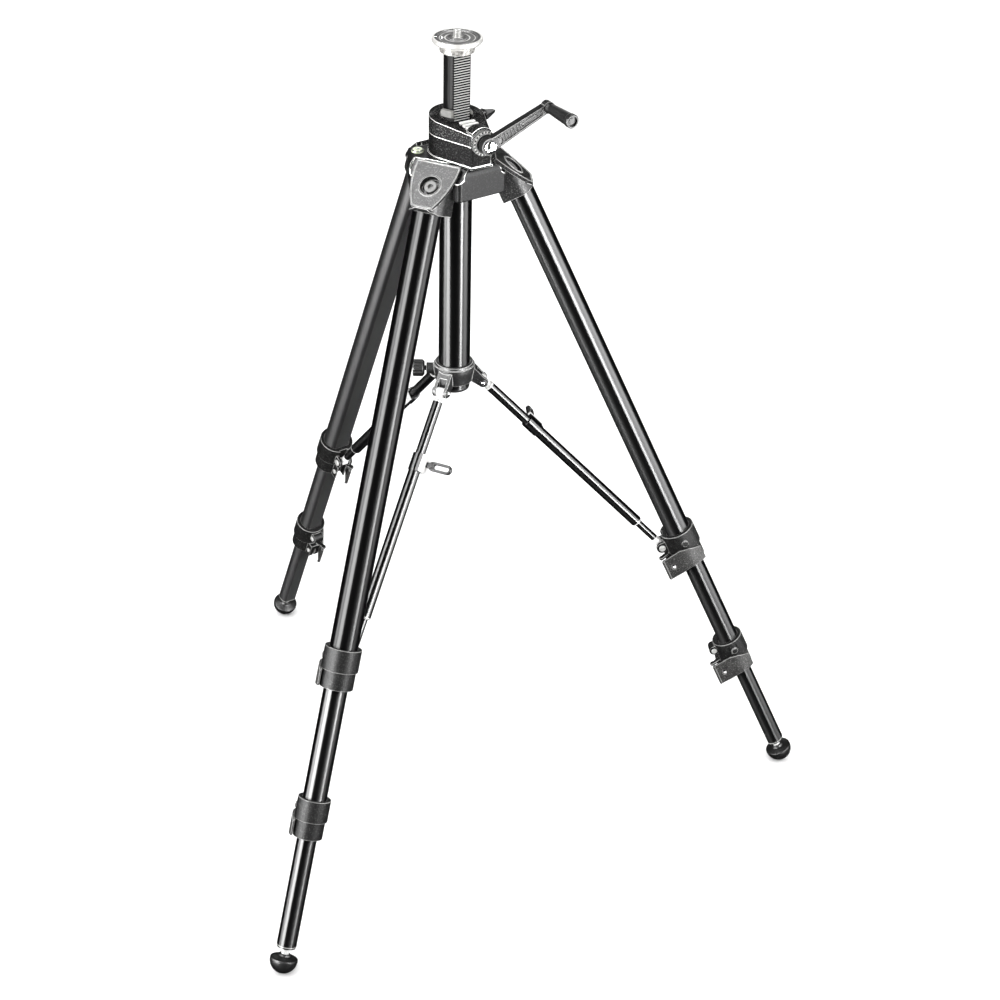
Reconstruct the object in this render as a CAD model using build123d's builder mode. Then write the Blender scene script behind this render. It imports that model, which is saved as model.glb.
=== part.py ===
from build123d import *
from math import sin, cos, tan, radians, degrees, pi, sqrt, hypot
import os

os.makedirs("parts", exist_ok=True)

# ---------------------------------------------------------------- driving dimensions (mm)
LEGS = {"front": -90.0, "right": 30.0, "back": 150.0}     # leg azimuths
TH = 24.28                # leg angle from vertical
FOOT_R, FOOT_Z = 453.1, 31.9   # low tube's end on the leg axis
UP_R, UP_FLAT = 17.5, 14.0     # upper D tube: radius, flat distance
MID_R, MID_FLAT = 15.0, 11.8
LOW_R, LOW_FLAT = 12.5, 9.6
WALL = 1.2
UP_S0, UP_S1 = 349.0, 917.0    # stations along the leg, from the low tube's end
MID_S0, MID_S1 = 158.0, 704.0
LOW_S1 = 540.0
COL1_S0, COL1_S1, COL1_R = 335.0, 386.0, 23.0   # upper collar
COL2_S0, COL2_S1, COL2_R = 144.0, 194.0, 20.6   # lower collar
SLIP = 0.3                # free clearance of a sliding tube in its collar
HINGE_R, HINGE_Z = 49.0, 900.0  # leg pivot
PIN_R = 3.5
RUN = 0.05                # running clearance
FOOT_BALL_R = 17.5
SPIDER_TOP, SPIDER_BOT = 918.0, 879.0
WALL_AP, LEG_AP = 57.0, 56.5
SLOT_HALF = 24.0
HUB_TOP, HUB_BOT = 638.0, 613.0
SLEEVE_BOT = 606.0
HUB_PIV_R, HUB_PIV_Z = 36.0, 610.0
LEG_PIV_N, LEG_PIV_S = -27.0, 369.7
SLEEVE_R, SLEEVE_IR = 19.8, 18.0
COLUMN_R = 16.0
COLUMN_BOT, COLUMN_TOP = 690.0, 1046.0
PLATE_TOP = 1060.4
CRANK_AZ = -33.0          # rack face, gear and crank direction
CRANK_Z = 951.0
RACK_TIP, RACK_PITCH, RACK_ROOT = 12.4, 11.4, 10.15
GEAR_Z, GEAR_T = 936.0, 18
GEAR_OFF = RACK_PITCH + GEAR_T / 2.0
SEAM_Z = 945.5
NOSE_OFF, NOSE_HALF = 58.0, 13.0
ARM_LEN = 86.5
ARM_ANG = 22.4
GRIP_LEN = 50.0
SCREWS = ((5.0, 26.5), (-12, -25.0), (-26.5, 6.0))   # cover screws, crank frame


# ---------------------------------------------------------------- frames and helpers
def leg_plane(az):
    a, t = radians(az), radians(TH)
    return Plane(origin=(FOOT_R * cos(a), FOOT_R * sin(a), FOOT_Z),
                 x_dir=(cos(t) * cos(a), cos(t) * sin(a), sin(t)),
                 z_dir=(-sin(t) * cos(a), -sin(t) * sin(a), cos(t)))


def sub(P, o, x, z):
    O = P.origin + P.x_dir * o[0] + P.y_dir * o[1] + P.z_dir * o[2]
    X = P.x_dir * x[0] + P.y_dir * x[1] + P.z_dir * x[2]
    Z = P.x_dir * z[0] + P.y_dir * z[1] + P.z_dir * z[2]
    return Plane(origin=O, x_dir=X, z_dir=Z)


def side(P, y=0.0):
    return sub(P, (0, y, 0), (1, 0, 0), (0, -1, 0))      # sketch x = outward, y = along the leg


def turned(az, z):
    a = radians(az)
    return Plane(origin=(0, 0, z), x_dir=(cos(a), sin(a), 0), z_dir=(0, 0, 1))


def radial(az, z, off=0.0):
    a = radians(az)
    return Plane(origin=(off * cos(a), off * sin(a), z), x_dir=(-sin(a), cos(a), 0),
                 z_dir=(cos(a), sin(a), 0))              # sketch x = tangential, y = up


def save(b, name):
    b.part.label = name
    export_step(b.part, "parts/" + name + ".step")


def d_sketch(P, r, flat, soft):
    with BuildSketch(P) as sk:
        Circle(r)
        with Locations((-(flat + r), 0)):
            Rectangle(2 * r, 2 * r + 2, mode=Mode.SUBTRACT)
        if soft:
            fillet(sk.vertices(), soft)
    return sk


def d_tube(P, s0, s1, r, flat, wall):
    with BuildPart() as t:
        extrude(d_sketch(P.offset(s0), r, flat, 2.0).sketch, amount=s1 - s0)
        extrude(d_sketch(P.offset(s0), r - wall, flat - wall, 1.0).sketch, amount=s1 - s0, mode=Mode.SUBTRACT)
    return t


# hood plane of the leg's top casting, in leg coordinates (outward, along)
HA, HB = (-7.5, 977.0), (20.5, 922.0)
HL = hypot(HB[0] - HA[0], HB[1] - HA[1])
HD = ((HB[0] - HA[0]) / HL, (HB[1] - HA[1]) / HL)
HN = (-HD[1], HD[0])                                     # outward normal
t_ = radians(TH)
PIV_N = (HINGE_R - FOOT_R) * cos(t_) + (HINGE_Z - FOOT_Z) * sin(t_)
PIV_S = -(HINGE_R - FOOT_R) * sin(t_) + (HINGE_Z - FOOT_Z) * cos(t_)
REC_T = 31.0                                             # recess, down the hood


def top_casting(P):
    hood = sub(P, (HA[0], 0, HA[1]), (0, 1, 0), (HN[0], 0, HN[1]))
    # hood sketch: x = tangential, y = up the slope (so the hood runs towards -y)
    with BuildPart() as c:
        with BuildSketch(P.offset(917)) as plan:
            Circle(21.8)
            with Locations((-11, 0)):
                Rectangle(22, 43.6)
        extrude(amount=70)
        with BuildSketch(side(P)):
            with BuildLine():
                Polyline((-22, 917), (10, 917), (18.5, 919.5), HB, HA,
                         (HA[0] - 4.6, HA[1] - 1.5), (PIV_N - 6.5, PIV_S + 7), (PIV_N - 9.3, PIV_S),
                         (-22, 948), (-22, 917))
            make_face()
        extrude(amount=30, both=True, mode=Mode.INTERSECT)
        # shield plate over the pivot
        with BuildSketch(hood) as sh:
            with BuildLine():
                Line((-28.5, 0), (28.5, 0))
                ThreePointArc((28.5, 0), (25.4, -HL * 0.5), (13.5, -HL + 1.5))
                Line((13.5, -HL + 1.5), (-13.5, -HL + 1.5))
                ThreePointArc((-13.5, -HL + 1.5), (-25.4, -HL * 0.5), (-28.5, 0))
            make_face()
        extrude(amount=-4.0)
        # raised border of the shield
        with BuildSketch(hood) as brd:
            with BuildLine():
                Line((-28.5, 0), (28.5, 0))
                ThreePointArc((28.5, 0), (25.4, -HL * 0.5), (13.5, -HL + 1.5))
                Line((13.5, -HL + 1.5), (-13.5, -HL + 1.5))
                ThreePointArc((-13.5, -HL + 1.5), (-25.4, -HL * 0.5), (-28.5, 0))
            make_face()
            offset(amount=-1.6, mode=Mode.SUBTRACT)
        extrude(amount=1.0)
        # bolt recess with a round lip
        with BuildSketch(hood):
            with Locations((0, -REC_T)):
                Circle(14.2)
        extrude(amount=1.2)
        with BuildSketch(hood.offset(2)):
            with Locations((0, -REC_T)):
                Circle(12.2)
        extrude(amount=-9.5, mode=Mode.SUBTRACT)
        with BuildSketch(hood):
            with Locations((0, -REC_T)):
                Circle(3.05)
        extrude(amount=-20, mode=Mode.SUBTRACT)
        # spigot into the tube
        extrude(d_sketch(P.offset(884), UP_R - WALL - 0.05, UP_FLAT - WALL - 0.05, 1.2).sketch, amount=34)
        with BuildSketch(P.offset(884)):
            Circle(9)
        extrude(amount=40, mode=Mode.SUBTRACT)
        # pivot bore
        with BuildSketch(side(P)):
            with Locations((PIV_N, PIV_S)):
                Circle(PIN_R + RUN)
        extrude(amount=40, both=True, mode=Mode.SUBTRACT)
    return c


def top_bolt(P):
    hood = sub(P, (HA[0], 0, HA[1]), (0, 1, 0), (HN[0], 0, HN[1]))
    with BuildPart() as b:
        with BuildSketch(hood.offset(-7.5)):
            with Locations((0, -REC_T)):
                Circle(7.6)
        extrude(amount=6.0)
        with BuildSketch(hood.offset(-7.5)):
            with Locations((0, -REC_T)):
                Circle(3.0)
        extrude(amount=-9)
        with BuildSketch(hood.offset(-1.5)):
            with Locations((0, -REC_T)):
                RegularPolygon(3.6, 6)
        extrude(amount=-3.5, mode=Mode.SUBTRACT)
    return b


def collar(P, s0, s1, R, bore, flat, slide_r, slide_flat, step, strut):
    low_r = R - 2.2
    half = s0 + 22.5
    with BuildPart() as c:
        with BuildSketch(P.offset(s0)):
            Circle(low_r)
            with Locations((-(R + 6) / 2.0, 0)):
                Rectangle(R + 6, 15)
        extrude(amount=half - s0)
        with BuildSketch(P.offset(half)):
            Circle(R)
        extrude(amount=s1 - half)
        # small boss above the lever
        with BuildSketch(sub(P, (0, 0, s0 + 36.2), (0, 0, 1), (0.17, -0.985, 0))):
            Circle(4.2)
        extrude(amount=R + 1.4)
        # lug over the lever's pivot
        px, py = lever_pivot(R)
        with BuildSketch(P.offset(s0 + 20.6)):
            with Locations((px, py)):
                Circle(3.6)
            with BuildLine():
                Polyline((-20, -5), (-R - 3, -2), (px - 3.4, py - 0.5), (px + 2.4, py - 2.6), (-20, -9), (-20, -5))
            make_face()
        extrude(amount=3.0)
        if strut:
            with BuildSketch(side(P)):
                with Locations((LEG_PIV_N, LEG_PIV_S)):
                    Circle(7.5)
                with Locations(((LEG_PIV_N - 15) / 2.0, LEG_PIV_S - 0.5)):
                    Rectangle(abs(LEG_PIV_N + 15), 16)
            extrude(amount=10, both=True)
            with BuildSketch(P.offset(s0 - 1)):
                with Locations((-19.8 - 15, 0)):
                    Rectangle(30, 11.4)
            with BuildSketch(P.offset(half - 5)):
                with Locations((-19.8 - 15, 0)):
                    Rectangle(30, 11.4)
            extrude(amount=40, mode=Mode.SUBTRACT)
        else:
            with BuildSketch(side(P)):
                with Locations((-(R + 2.5), s1 - 11)):
                    Circle(6.5)
                with Locations((-(R + 2.5) / 2.0 - 5, s1 - 11)):
                    Rectangle(R - 7.5, 13)
            extrude(amount=7.5, both=True)
        # clamp slit on the inner side
        with BuildSketch(P.offset(s0 - 1)):
            with Locations((-R - 5, 0)):
                Rectangle(2 * 15, 1.6)
        extrude(amount=step - s0 + 1, mode=Mode.SUBTRACT)
        # bores
        extrude(d_sketch(P.offset(step), bore, flat, 2.0).sketch, amount=60, mode=Mode.SUBTRACT)
        extrude(d_sketch(P.offset(s0 - 1), slide_r, slide_flat, 1.5).sketch, amount=70, mode=Mode.SUBTRACT)
    return c


def lever_pivot(R):
    """Leg coordinates (outward, tangential) of a collar lever's pivot."""
    a = radians(-115)
    r = R + 0.3 + 1.4
    return r * cos(a) + 25 * sin(a), r * sin(a) - 25 * cos(a)


def collar_lever(P, s0, R):
    ri, ro = R + 0.3, R + 3.1
    a0, a1 = radians(-115), radians(-36)
    am = (a0 + a1) / 2
    p = lambda r, a: (r * cos(a), r * sin(a))
    px, py = lever_pivot(R)
    tx, ty = sin(a0), -cos(a0)                                # direction of the straight end
    half = 1.4
    with BuildPart() as v:
        with BuildSketch(P.offset(s0 - 16)):
            with BuildLine():
                ThreePointArc(p(ri, a0), p(ri, am), p(ri, a1))
                Line(p(ri, a1), p(ro, a1))
                ThreePointArc(p(ro, a1), p(ro, am), p(ro, a0))
                Line(p(ro, a0), (px + half * cos(a0), py + half * sin(a0)))
                Line((px + half * cos(a0), py + half * sin(a0)), (px - half * cos(a0), py - half * sin(a0)))
                Line((px - half * cos(a0), py - half * sin(a0)), p(ri, a0))
            make_face()
            with Locations((px, py)):
                Circle(2.3)
        extrude(amount=48)
        # side outline, seen square to the middle of the plate
        d = radians(-100)
        O = sub(P, (0, 0, s0), (-sin(d), cos(d), 0), (cos(d), sin(d), 0))   # sketch x towards the free end, y along the leg
        q = (R + 1.7) / 24.7
        with BuildSketch(O) as line:
            with BuildLine():
                Polyline((24 * q, 1), (24 * q, 19), (20 * q, 23.5), (10.6 * q, 29), (-1.5, 30.2), (-8, 27.6), (-33.6, 15.1), (-35.5, 12.6),
                         (-35.5, -9.8), (-34.0, -13.0), (-30, -14.5), (-9, -5.2), (0, -0.4), (10 * q, 1), (24 * q, 1))
            make_face()
            fillet(line.vertices(), 1.2)
        extrude(amount=60, mode=Mode.INTERSECT)
        # window near the pivot end
        with BuildSketch(sub(P, (0, 0, s0 + 6), (-sin(a0), cos(a0), 0), (cos(a0), sin(a0), 0))):
            with Locations((-13, 0)):
                SlotOverall(8.4, 5.0, rotation=68)
        extrude(amount=60, mode=Mode.SUBTRACT)
    return v


def low_tube(P):
    with BuildPart() as t:
        extrude(d_sketch(P.offset(2), LOW_R, LOW_FLAT, 2.0).sketch, amount=LOW_S1 - 2)
        extrude(d_sketch(P.offset(8), LOW_R - WALL, LOW_FLAT - WALL, 1.0).sketch, amount=LOW_S1, mode=Mode.SUBTRACT)
        extrude(d_sketch(P.offset(0), LOW_R - 0.6, LOW_FLAT - 0.6, 2.0).sketch, amount=2)
        with BuildSketch(P.offset(-13)):
            Circle(5.0)
        extrude(amount=14)
    return t


def rubber_foot(P, az):
    c = (FOOT_Z - 17.0) / cos(t_)                       # ball centre, below the tube's end
    with BuildPart() as f:
        with BuildSketch(side(P)):
            with BuildLine():
                ThreePointArc((0, -c - FOOT_BALL_R), (FOOT_BALL_R * cos(radians(45)), -c - FOOT_BALL_R * sin(radians(45))),
                              (FOOT_BALL_R, -c))
                Polyline((FOOT_BALL_R, -c), (FOOT_BALL_R - 0.2, -c + 2.2), (FOOT_BALL_R - 2.4, -c + 3.2),
                         (8.5, -c + 5.4), (6.8, -c + 8.0), (0, -c + 8.0), (0, -c - FOOT_BALL_R))
            make_face()
        revolve(axis=Axis(P.origin, P.z_dir))
        with BuildSketch(P.offset(-13.0)):
            Circle(5.0)
        extrude(amount=20, mode=Mode.SUBTRACT)
        with BuildSketch(Plane(origin=(0, 0, 0), x_dir=(1, 0, 0), z_dir=(0, 0, 1))):
            a = radians(az)
            with Locations(((FOOT_R + 7) * cos(a), (FOOT_R + 7) * sin(a))):
                Circle(40)
        extrude(amount=-20, mode=Mode.SUBTRACT)
    return f


# ---------------------------------------------------------------- legs
for tag, az in LEGS.items():
    P = leg_plane(az)
    save(top_casting(P), tag + "_leg_top_casting")
    save(top_bolt(P), tag + "_leg_top_bolt")
    save(d_tube(P, UP_S0, UP_S1, UP_R, UP_FLAT, WALL), tag + "_leg_upper_tube")
    save(collar(P, COL1_S0, COL1_S1, COL1_R, UP_R + 0.02, UP_FLAT + 0.02, MID_R + SLIP, MID_FLAT + SLIP, UP_S0, True),
         tag + "_leg_upper_collar")
    save(collar_lever(P, COL1_S0, COL1_R), tag + "_leg_upper_lever")
    save(d_tube(P, MID_S0, MID_S1, MID_R, MID_FLAT, WALL), tag + "_leg_mid_tube")
    save(collar(P, COL2_S0, COL2_S1, COL2_R, MID_R + 0.02, MID_FLAT + 0.02, LOW_R + SLIP, LOW_FLAT + SLIP, MID_S0, False),
         tag + "_leg_lower_collar")
    save(collar_lever(P, COL2_S0, COL2_R), tag + "_leg_lower_lever")
    save(low_tube(P), tag + "_leg_low_tube")
    save(rubber_foot(P, az), tag + "_leg_rubber_foot")

# ---------------------------------------------------------------- struts
LPR = FOOT_R - LEG_PIV_S * sin(t_) + LEG_PIV_N * cos(t_)
LPZ = FOOT_Z + LEG_PIV_S * cos(t_) + LEG_PIV_N * sin(t_)
SL = hypot(LPR - HUB_PIV_R, LPZ - HUB_PIV_Z)
SDR, SDZ = (LPR - HUB_PIV_R) / SL, (LPZ - HUB_PIV_Z) / SL
SLEEVE0, SLEEVE1 = SL - 263.4, SL - 51.4


def strut_plane(az):
    a = radians(az)
    return Plane(origin=(HUB_PIV_R * cos(a), HUB_PIV_R * sin(a), HUB_PIV_Z),
                 x_dir=(-SDZ * cos(a), -SDZ * sin(a), SDR),
                 z_dir=(SDR * cos(a), SDR * sin(a), SDZ))


for tag, az in LEGS.items():
    S = strut_plane(az)
    E = sub(S, (0, 0, 0), (1, 0, 0), (0, -1, 0))        # sketch x = across, y = along the strut
    with BuildPart() as inner:
        with BuildSketch(E):
            Circle(5.6)
        extrude(amount=4.8, both=True)
        with BuildSketch(S.offset(2)):
            Circle(4.6)
        extrude(amount=12)
        with BuildSketch(S.offset(12)):
            Circle(6.3)
        extrude(amount=208)
        with BuildSketch(S.offset(20)):
            Circle(5.3)
        extrude(amount=210, mode=Mode.SUBTRACT)
        with BuildSketch(E):
            Circle(2.55)
        extrude(amount=10, both=True, mode=Mode.SUBTRACT)
    save(inner, tag + "_strut_inner")
    with BuildPart() as outer:
        with BuildSketch(S.offset(SLEEVE0)):
            Circle(7.5)
        extrude(amount=SLEEVE1 - SLEEVE0)
        with BuildSketch(S.offset(SLEEVE1)):
            Circle(4.75)
        extrude(amount=SL - SLEEVE1 - 4)
        with BuildSketch(E):
            with Locations((0, SL)):
                Circle(5.4)
        extrude(amount=4.6, both=True)
        # clamp block at the sleeve's mouth
        with BuildSketch(S.offset(SLEEVE0 - 2)) as blk:
            with Locations((0, -6.5)):
                Rectangle(15.6, 14)
            fillet(blk.vertices(), 1.5)
            Circle(8.6)
        extrude(amount=22)
        with BuildSketch(S.offset(SLEEVE0 - 5)):
            Circle(6.7)
        extrude(amount=SLEEVE1 - SLEEVE0 - 3, mode=Mode.SUBTRACT)
        # slot for the lever in the clamp block
        with BuildSketch(sub(S, (0, -18.6, SLEEVE0 + 9), (1, 0, 0), (0, 0, 1))):
            Rectangle(6.4, 18)
        extrude(amount=13, both=True, mode=Mode.SUBTRACT)
    save(outer, tag + "_strut_outer")
    # loop lever, sideways out of the clamp block
    L = sub(S, (0, 0, SLEEVE0 + 9), (0, -1, 0), (1, 0, 0))   # sketch x = sideways, y = along the strut
    with BuildPart() as loop:
        with BuildSketch(L):
            with Locations((32, 0)):
                SlotOverall(32, 12)
            with Locations((18, 0)):
                Rectangle(12, 7)
            with Locations((34, 0)):
                SlotOverall(20, 5.6, mode=Mode.SUBTRACT)
        extrude(amount=2.4, both=True)
    save(loop, tag + "_strut_lever")

# ---------------------------------------------------------------- spider
with BuildPart() as spider:
    pts = []
    for k in range(3):
        for az_a, ap_a, az_b, ap_b in ((-90 + 120 * k, LEG_AP, -30 + 120 * k, WALL_AP),
                                       (-30 + 120 * k, WALL_AP, 30 + 120 * k, LEG_AP)):
            a, b = radians(az_a), radians(az_b)
            det = cos(a) * sin(b) - sin(a) * cos(b)
            pts.append(((ap_a * sin(b) - ap_b * sin(a)) / det, (ap_b * cos(a) - ap_a * cos(b)) / det))
    with BuildSketch(Plane.XY.offset(SPIDER_BOT)) as hexs:
        with BuildLine():
            Polyline(*pts, pts[0])
        make_face()
        fillet(hexs.vertices(), 6)
    extrude(amount=SPIDER_TOP - SPIDER_BOT)
    fillet(spider.faces().sort_by(Axis.Z)[-1].edges(), 9)
    fillet(spider.faces().sort_by(Axis.Z)[0].edges(), 2)
    for az in LEGS.values():
        a = radians(az)
        V = Plane(origin=(0, 0, 0), x_dir=(cos(a), sin(a), 0), z_dir=(sin(a), -cos(a), 0))   # sketch (r, z)
        # sloping face under the leg's shield
        with BuildSketch(V):
            with BuildLine():
                Polyline((37.4, 918), (56.5, 902.7), (70, 902.7), (70, 930), (37.4, 930), (37.4, 918))
            make_face()
        extrude(amount=36, both=True, mode=Mode.SUBTRACT)
        # slot for the leg's casting
        with BuildSketch(V):
            with Locations((36.5 + 20, 898)):
                Rectangle(40, 60)
        extrude(amount=SLOT_HALF, both=True, mode=Mode.SUBTRACT)
        # pivot bore through both lugs
        with BuildSketch(V):
            with Locations((HINGE_R, HINGE_Z)):
                Circle(PIN_R)
        extrude(amount=30.5, both=True, mode=Mode.SUBTRACT)
    # lightening pockets in the underside and the sleeve's bore
    with BuildSketch(Plane.XY.offset(SPIDER_BOT)):
        with PolarLocations(39, 3, start_angle=-30):
            Circle(10)
    extrude(amount=27, mode=Mode.SUBTRACT)
    with BuildSketch(Plane.XY.offset(SPIDER_BOT - 1)):
        Circle(SLEEVE_R)
    extrude(amount=60, mode=Mode.SUBTRACT)
save(spider, "spider")

with BuildPart() as pins:
    for az in LEGS.values():
        a = radians(az)
        V = Plane(origin=(0, 0, 0), x_dir=(cos(a), sin(a), 0), z_dir=(sin(a), -cos(a), 0))
        with BuildSketch(V):
            with Locations((HINGE_R, HINGE_Z)):
                Circle(PIN_R)
        extrude(amount=29.5, both=True)
    for az in LEGS.values():
        a = radians(az)
        V = Plane(origin=(0, 0, 0), x_dir=(cos(a), sin(a), 0), z_dir=(sin(a), -cos(a), 0))
        with BuildSketch(V):
            with Locations((HUB_PIV_R, HUB_PIV_Z)):
                Circle(2.5)
        extrude(amount=9.2, both=True)
        for sgn in (1, -1):
            with BuildSketch(V.offset(sgn * 9.2)):
                with Locations((HUB_PIV_R, HUB_PIV_Z)):
                    Circle(3.6)
            extrude(amount=sgn * 1.6)
save(pins, "pivot_pins")

with BuildPart() as level:
    a = radians(207)
    with BuildSketch(Plane(origin=(46 * cos(a), 46 * sin(a), SPIDER_TOP), x_dir=(1, 0, 0), z_dir=(0, 0, 1))):
        Circle(7.6)
    extrude(amount=1.8)
    with BuildSketch(Plane(origin=(46 * cos(a), 46 * sin(a), SPIDER_TOP + 1.8), x_dir=(1, 0, 0), z_dir=(0, 0, 1))):
        Circle(6.0)
    extrude(amount=1.6, taper=20)
save(level, "spirit_level")

with BuildPart() as sleeve:
    with BuildSketch(Plane.XY.offset(SLEEVE_BOT)):
        Circle(SLEEVE_R)
        Circle(SLEEVE_IR, mode=Mode.SUBTRACT)
    extrude(amount=SPIDER_TOP - SLEEVE_BOT)
save(sleeve, "sleeve_tube")

# ---------------------------------------------------------------- spreader hub
with BuildPart() as hub:
    with BuildSketch(Plane.XZ):
        with BuildLine():
            Polyline((SLEEVE_R, HUB_BOT), (23.4, HUB_BOT), (24.4, HUB_BOT + 8), (26.0, HUB_BOT + 16),
                     (26.0, HUB_TOP - 3.2), (24.6, HUB_TOP - 3.2), (24.6, HUB_TOP - 1.6), (23.6, HUB_TOP), (SLEEVE_R, HUB_TOP),
                     (SLEEVE_R, HUB_BOT))
        make_face()
    revolve(axis=Axis.Z)
    for az in LEGS.values():
        a = radians(az)
        V = Plane(origin=(0, 0, 0), x_dir=(cos(a), sin(a), 0), z_dir=(sin(a), -cos(a), 0))
        with BuildSketch(V) as ear:
            with BuildLine():
                Polyline((21.5, HUB_BOT), (HUB_PIV_R - 3.5, HUB_PIV_Z - 5.6), (HUB_PIV_R + 2, HUB_PIV_Z + 6.2), (25, HUB_TOP - 7),
                         (21.5, HUB_TOP - 7), (21.5, HUB_BOT))
            make_face()
            with Locations((HUB_PIV_R, HUB_PIV_Z)):
                Circle(6.6)
        extrude(amount=9.2, both=True)
        with BuildSketch(V):
            with Locations((29.8 + 20, HUB_PIV_Z)):
                Rectangle(40, 60)
        extrude(amount=5.3, both=True, mode=Mode.SUBTRACT)
        with BuildSketch(V):
            with Locations((HUB_PIV_R, HUB_PIV_Z)):
                Circle(2.5)
        extrude(amount=10, both=True, mode=Mode.SUBTRACT)
    # boss of the clamp knob
    with BuildSketch(radial(206, 627, 22)):
        Circle(7)
    extrude(amount=13)
    with BuildSketch(radial(206, 627, 22)):
        Circle(3.3)
    extrude(amount=14, mode=Mode.SUBTRACT)
    with BuildSketch(Plane.XY.offset(HUB_BOT - 1)):
        Circle(SLEEVE_R)
    extrude(amount=60, mode=Mode.SUBTRACT)
save(hub, "spreader_hub")


with BuildPart() as endcap:
    with BuildSketch(Plane.XZ):
        with BuildLine():
            Polyline((0, 601), (17.5, 601), (19.2, 602.2), (19.6, 603.6), (19.6, SLEEVE_BOT), (17.9, SLEEVE_BOT),
                     (17.9, SLEEVE_BOT + 10), (0, SLEEVE_BOT + 10), (0, 601))
        make_face()
    revolve(axis=Axis.Z)
save(endcap, "sleeve_end_cap")

with BuildPart() as knob:
    K = radial(206, 627, 0)
    with BuildSketch(K.offset(23)):
        Circle(3.25)
    extrude(amount=16)
    with BuildSketch(K.offset(37)):
        Circle(8.2)
    extrude(amount=2.6, taper=-45)
    with BuildSketch(K.offset(39.6)):
        Circle(10.8)
    extrude(amount=12.4)
    fillet(knob.faces().sort_by(Axis((0, 0, 627), K.z_dir))[-1].edges(), 2.2)
    with BuildSketch(K.offset(39.6)):
        with PolarLocations(11.9, 10):
            Circle(2.0)
    extrude(amount=14, mode=Mode.SUBTRACT)
save(knob, "hub_knob")

# ---------------------------------------------------------------- gear housing
A = radians(CRANK_AZ)
ER, ET = (cos(A), sin(A), 0.0), (-sin(A), cos(A), 0.0)
C = radial(CRANK_AZ, CRANK_Z)                             # sketch x = tangential, y = up, normal = along the crank


def housing_plan(z, grow=0.0):
    with BuildSketch(turned(CRANK_AZ, z)) as sk:
        Circle(33.0 + grow)
        with Locations((NOSE_OFF - 2 + grow, 0)):
            Rectangle(4, 2 * (NOSE_HALF + grow))
        make_hull()
        fillet(sk.vertices().sort_by_distance(Vector(*[NOSE_OFF * e for e in ER]) + Vector(0, 0, z))[0:2], 1.6)
    return sk


with BuildPart() as base:
    extrude(housing_plan(SPIDER_TOP, 1.6).sketch, amount=2.6)
    extrude(housing_plan(SPIDER_TOP).sketch, amount=SEAM_Z - SPIDER_TOP)
    with BuildSketch(Plane.XY.offset(SPIDER_TOP - 1)):
        Circle(17.0)
    extrude(amount=40, mode=Mode.SUBTRACT)
    # gear chamber and the drop-in slot for its shaft
    with BuildSketch(turned(CRANK_AZ, GEAR_Z - 11.5)):
        with Locations((22, 0)):
            Rectangle(22, 12.6)
    extrude(amount=40, mode=Mode.SUBTRACT)
    with BuildSketch(sub(turned(CRANK_AZ, GEAR_Z), (GEAR_OFF, 0, 0), (1, 0, 0), (0, 1, 0))):
        Circle(3.0 + RUN)
    extrude(amount=24.2, both=True, mode=Mode.SUBTRACT)
    with BuildSketch(turned(CRANK_AZ, GEAR_Z)):
        with Locations((GEAR_OFF, 0)):
            Rectangle(2 * (3.0 + RUN), 48.4)
    extrude(amount=20, mode=Mode.SUBTRACT)
save(base, "housing_base")

with BuildPart() as cover:
    extrude(housing_plan(SEAM_Z).sketch, amount=26)
    # arched nose round the dial, sloping top
    with BuildSketch(sub(turned(CRANK_AZ, 0), (0, 0, 0), (1, 0, 0), (0, -1, 0))):   # sketch (off, z)
        with BuildLine():
            Polyline((-60, SEAM_Z), (80, SEAM_Z), (80, 957.6), (-60, 970.0), (-60, SEAM_Z))
        make_face()
    extrude(amount=60, both=True, mode=Mode.INTERSECT)
    with BuildSketch(C.offset(44)) as arch:
        Circle(17.4)
        with Locations((0, -5.5 - 20)):
            Rectangle(60, 40, mode=Mode.SUBTRACT)
        with Locations((-13 - 20, 0)):
            Rectangle(40, 60, mode=Mode.SUBTRACT)
        with Locations((13 + 20, 0)):
            Rectangle(40, 60, mode=Mode.SUBTRACT)
    extrude(amount=NOSE_OFF - 44)
    # ribs across the sloping top
    for k in range(3):
        with BuildSketch(turned(CRANK_AZ, 957)):
            with Locations((24.8 + 7.4 * k, 0)):
                Rectangle(4.6, 20)
        extrude(amount=7.6 - 0.5 * k)
    # column's passage and gear chamber
    with BuildSketch(Plane.XY.offset(SEAM_Z - 1)):
        Circle(19.6)
    extrude(amount=40, mode=Mode.SUBTRACT)
    with BuildSketch(turned(CRANK_AZ, SEAM_Z - 1)):
        with Locations((24, 0)):
            Rectangle(26, 12.6)
    extrude(amount=12.5, mode=Mode.SUBTRACT)
    # bore for the crank's shaft
    with BuildSketch(C.offset(10)):
        Circle(4.5 + RUN)
    extrude(amount=60, mode=Mode.SUBTRACT)
    # boss and bore of the column lock
    with BuildSketch(radial(70, 953.5, 28)):
        Circle(7.5)
    extrude(amount=8)
    with BuildSketch(radial(70, 953.5, 15)):
        Circle(3.3)
    extrude(amount=25, mode=Mode.SUBTRACT)
    for x, y in SCREWS:
        zt = 970.0 - (x + 60) * (970.0 - 957.6) / 140.0
        with BuildSketch(sub(turned(CRANK_AZ, zt - 0.6), (x, y, 0), (1, 0, 0), (0, 0, 1))):
            Circle(3.45)
        extrude(amount=8, mode=Mode.SUBTRACT)
save(cover, "housing_cover")

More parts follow.
